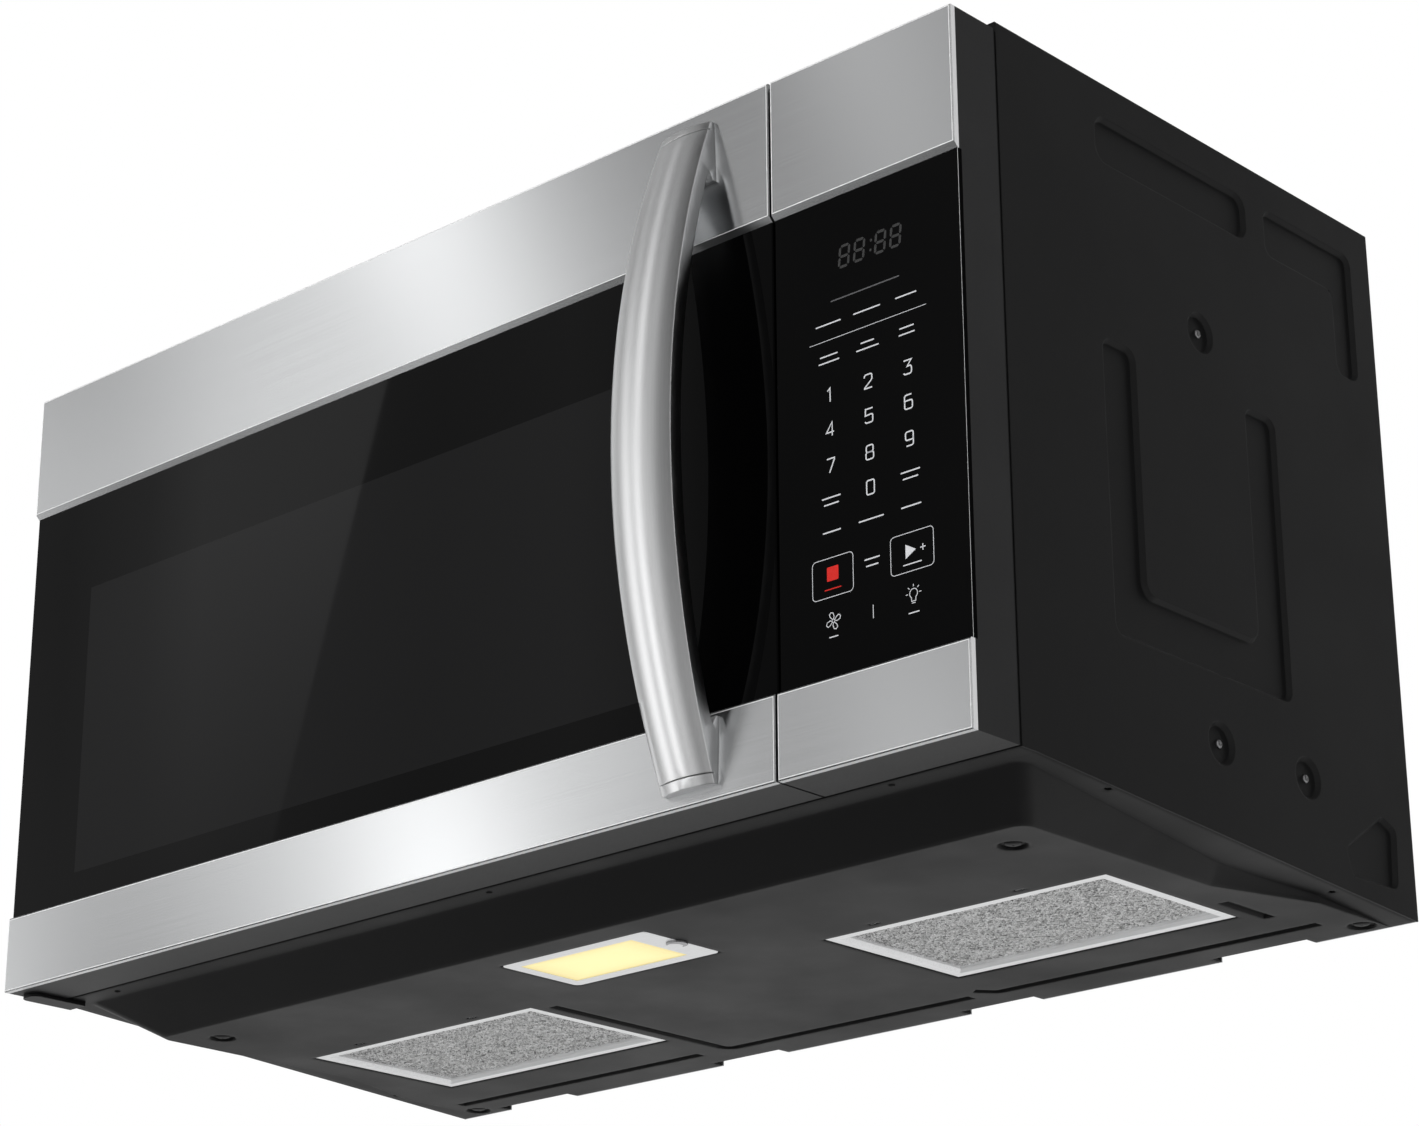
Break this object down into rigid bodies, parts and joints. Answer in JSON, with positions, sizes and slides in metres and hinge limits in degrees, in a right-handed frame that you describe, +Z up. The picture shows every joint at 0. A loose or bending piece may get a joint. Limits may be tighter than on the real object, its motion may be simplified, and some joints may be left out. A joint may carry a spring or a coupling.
{
  "type": "over the range microwave",
  "caption": "Wall-hung microwave oven with a side-hinged glass door, bow handle, touch panel, and an extractor base with grease filters and a cooktop lamp.",
  "frame": {"origin": "centre of the rear bottom edge, on the face that lies against the wall", "axes": "+Z up, +X to the right as seen from the front, +Y into the wall, so the door faces -Y"},
  "size_m": [0.759, 0.433, 0.4192],
  "materials": {
    "stainless": "horizontally brushed stainless steel",
    "black_glass": "gloss black back-painted glass",
    "case_paint": "satin black powder coat",
    "galvanised": "galvanised steel sheet",
    "enamel": "pale grey enamel",
    "dark_plastic": "fine-grained dark moulding",
    "pale_plastic": "natural white moulding",
    "motor_steel": "plated motor and core steel",
    "fan_plastic": "moulded black fan plastic",
    "clear_glass": "clear tempered glass",
    "filter_frame": "bright rolled aluminium",
    "filter_mesh": "layered aluminium mesh",
    "lamp_lens": "warm glowing diffuser",
    "circuit": "green circuit laminate",
    "lamp_holder": "pale lamp holder",
    "mica": "mica sheet",
    "charcoal": "charcoal filter cassette"
  },
  "bodies": {
    "chassis": {"outer_case": "case_paint", "rear_panel": "galvanised", "base_plate": "case_paint", "front_frame": "case_paint", "oven_cavity": "enamel", "cavity_floor": "enamel", "waveguide_cover": "mica", "waveguide": "galvanised", "magnetron": "galvanised", "component_shelf": "galvanised", "transformer": "motor_steel", "capacitor": "motor_steel", "fan_housing": "galvanised", "fan_motor": "motor_steel", "blower_housing": "galvanised", "blower_motor": "motor_steel", "vent_grille": "dark_plastic", "charcoal_filter": "charcoal", "cord_bushing": "dark_plastic", "turntable_motor": "motor_steel", "cavity_lamp": "lamp_holder", "panel_top_band": "stainless", "panel_bottom_band": "stainless", "panel_frame": "dark_plastic", "panel_glass": "black_glass", "display_module": "dark_plastic", "control_board": "circuit", "latch_board": "dark_plastic", "door_switches": "dark_plastic", "door_hinges": "case_paint", "lamp_cover": "filter_frame", "lamp_lens": "lamp_lens", "lamp_housing": "galvanised", "cooktop_lamp": "circuit"},
    "door": {"door_frame": "dark_plastic", "door_plate": "enamel", "door_screen": "enamel", "door_glass": "black_glass", "door_top_band": "stainless", "door_bottom_band": "stainless", "inner_window": "clear_glass", "door_back_cover": "dark_plastic", "handle_bar": "stainless", "handle_screws": "galvanised"},
    "latch": {"latch_hook": "pale_plastic"},
    "fan_rotor": {"fan_blade": "fan_plastic"},
    "blower_rotor": {"blower_wheels": "fan_plastic"},
    "turntable_drive": {"turntable_shaft": "galvanised", "turntable_coupler": "pale_plastic"},
    "tray": {"turntable_tray": "clear_glass"},
    "ring": {"roller_ring": "pale_plastic"},
    "roller_a": {"roller_1": "pale_plastic"},
    "roller_b": {"roller_2": "pale_plastic"},
    "roller_c": {"roller_3": "pale_plastic"},
    "left_filter": {"left_filter_frame": "filter_frame", "left_filter_mesh": "filter_mesh"},
    "right_filter": {"right_filter_frame": "filter_frame", "right_filter_mesh": "filter_mesh"},
    "lower_plunger": {"lower_switch_plunger": "pale_plastic"},
    "upper_plunger": {"upper_switch_plunger": "pale_plastic"}
  },
  "joints": [
    {"name": "door_hinge", "type": "hinge", "parent": "chassis", "child": "door", "pos_m": [-0.3725, -0.3665, 0.2165], "axis": [0, 0, -1], "range_deg": [0, 105]},
    {"name": "latch_slide", "type": "slide", "parent": "door", "child": "latch", "axis": [0, 0, 1], "range_m": [0, 0.004], "stiffness_N_per_m": 400, "springref_m": -0.003},
    {"name": "fan_spin", "type": "hinge", "parent": "chassis", "child": "fan_rotor", "pos_m": [0.287, -0.06, 0.18], "axis": [0, -1, 0], "continuous": true},
    {"name": "blower_spin", "type": "hinge", "parent": "chassis", "child": "blower_rotor", "pos_m": [0, -0.082, 0.359], "axis": [1, 0, 0], "continuous": true},
    {"name": "turntable_spin", "type": "hinge", "parent": "chassis", "child": "turntable_drive", "pos_m": [-0.075, -0.182, 0.0693], "axis": [0, 0, 1], "continuous": true},
    {"name": "tray_lift", "type": "slide", "parent": "turntable_drive", "child": "tray", "axis": [0, 0, 1], "range_m": [0, 0.03]},
    {"name": "ring_turn", "type": "hinge", "parent": "chassis", "child": "ring", "pos_m": [-0.075, -0.182, 0.0693], "axis": [0, 0, 1], "continuous": true},
    {"name": "roller_a_spin", "type": "hinge", "parent": "ring", "child": "roller_a", "pos_m": [-0.075, -0.084, 0.0693], "axis": [0, 1, 0], "continuous": true},
    {"name": "roller_b_spin", "type": "hinge", "parent": "ring", "child": "roller_b", "pos_m": [-0.15987, -0.231, 0.0693], "axis": [-0.866, -0.5, 0], "continuous": true},
    {"name": "roller_c_spin", "type": "hinge", "parent": "ring", "child": "roller_c", "pos_m": [0.00987, -0.231, 0.0693], "axis": [0.866, -0.5, 0], "continuous": true},
    {"name": "left_filter_tilt", "type": "hinge", "parent": "chassis", "child": "left_filter", "pos_m": [-0.2145, -0.0762, 0.0015], "axis": [1, 0, 0], "range_deg": [0, 35]},
    {"name": "right_filter_tilt", "type": "hinge", "parent": "chassis", "child": "right_filter", "pos_m": [0.2145, -0.0762, 0.0015], "axis": [1, 0, 0], "range_deg": [0, 35]},
    {"name": "lower_plunger_push", "type": "slide", "parent": "chassis", "child": "lower_plunger", "axis": [0, 1, 0], "range_m": [0, 0.001], "stiffness_N_per_m": 200, "springref_m": -0.001},
    {"name": "upper_plunger_push", "type": "slide", "parent": "chassis", "child": "upper_plunger", "axis": [0, 1, 0], "range_m": [0, 0.001], "stiffness_N_per_m": 200, "springref_m": -0.001}
  ],
  "couplings": [
    {"joint": "ring_turn", "follows": "turntable_spin", "ratio": 0.5},
    {"joint": "roller_a_spin", "follows": "turntable_spin", "ratio": -5.4444},
    {"joint": "roller_b_spin", "follows": "turntable_spin", "ratio": -5.4444},
    {"joint": "roller_c_spin", "follows": "turntable_spin", "ratio": -5.4444}
  ]
}
